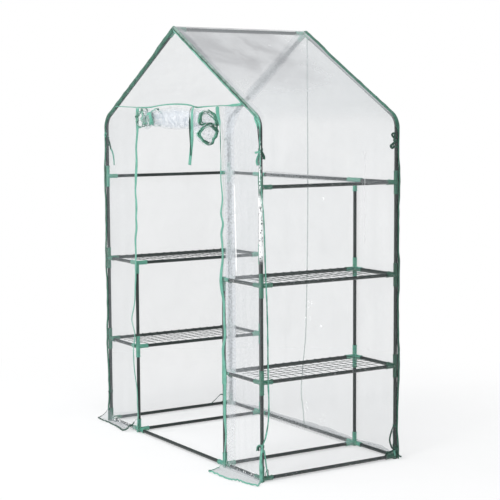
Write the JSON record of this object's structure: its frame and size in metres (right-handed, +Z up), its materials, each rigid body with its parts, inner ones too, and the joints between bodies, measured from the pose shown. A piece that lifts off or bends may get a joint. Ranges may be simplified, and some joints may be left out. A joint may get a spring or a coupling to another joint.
{
  "type": "walk-in garden greenhouse",
  "caption": "Small walk-in garden greenhouse: a push-fit tube frame with wire shelves on both sides under a clear film cover, its door rolled up.",
  "frame": {"origin": "on the ground under the middle of the frame", "axes": "+X to the right seen from the front, +Y from the doorway to the rear wall, +Z up"},
  "size_m": [1.5612, 0.92, 1.954],
  "materials": {
    "coated_tube": "glossy powder coat on steel tube",
    "moulded_connector": "injection-moulded polypropylene, satin",
    "coated_wire": "dipped powder coat on steel wire",
    "clear_film": "clear soft film, glossy with folds",
    "green_tape": "woven tape"
  },
  "bodies": {
    "root": {"corner_post_front_left": "coated_tube", "corner_post_front_right": "coated_tube", "corner_post_rear_left": "coated_tube", "corner_post_rear_right": "coated_tube", "front_inner_posts": "coated_tube", "rear_inner_posts": "coated_tube", "front_arch": "coated_tube", "rear_arch": "coated_tube", "ridge_pole": "coated_tube", "ground_rails_front_rear": "coated_tube", "ground_rails_sides": "coated_tube", "lower_shelf_rails_left": "coated_tube", "lower_shelf_rails_right": "coated_tube", "upper_shelf_rails_left": "coated_tube", "upper_shelf_rails_right": "coated_tube", "top_rails": "coated_tube", "ground_corner_connectors": "moulded_connector", "ground_tee_connectors": "moulded_connector", "lower_corner_connectors": "moulded_connector", "lower_tee_connectors": "moulded_connector", "upper_corner_connectors": "moulded_connector", "upper_tee_connectors": "moulded_connector", "top_corner_connectors": "moulded_connector", "top_tee_connectors": "moulded_connector", "ridge_connectors": "moulded_connector", "lower_shelf_left": "coated_wire", "lower_shelf_right": "coated_wire", "upper_shelf_left": "coated_wire", "upper_shelf_right": "coated_wire", "roof_film_left": "clear_film", "roof_film_right": "clear_film", "wall_film_left": "clear_film", "wall_film_right": "clear_film", "wall_film_rear": "clear_film", "gable_film_front": "clear_film", "front_panel_left": "clear_film", "front_panel_right": "clear_film", "ground_skirts": "clear_film", "door_roll": "clear_film", "door_straps": "green_tape", "zip_tapes": "green_tape", "front_binding": "green_tape", "rear_binding": "green_tape", "rear_seam_tape": "green_tape", "tie_tapes": "green_tape"}
  },
  "joints": []
}
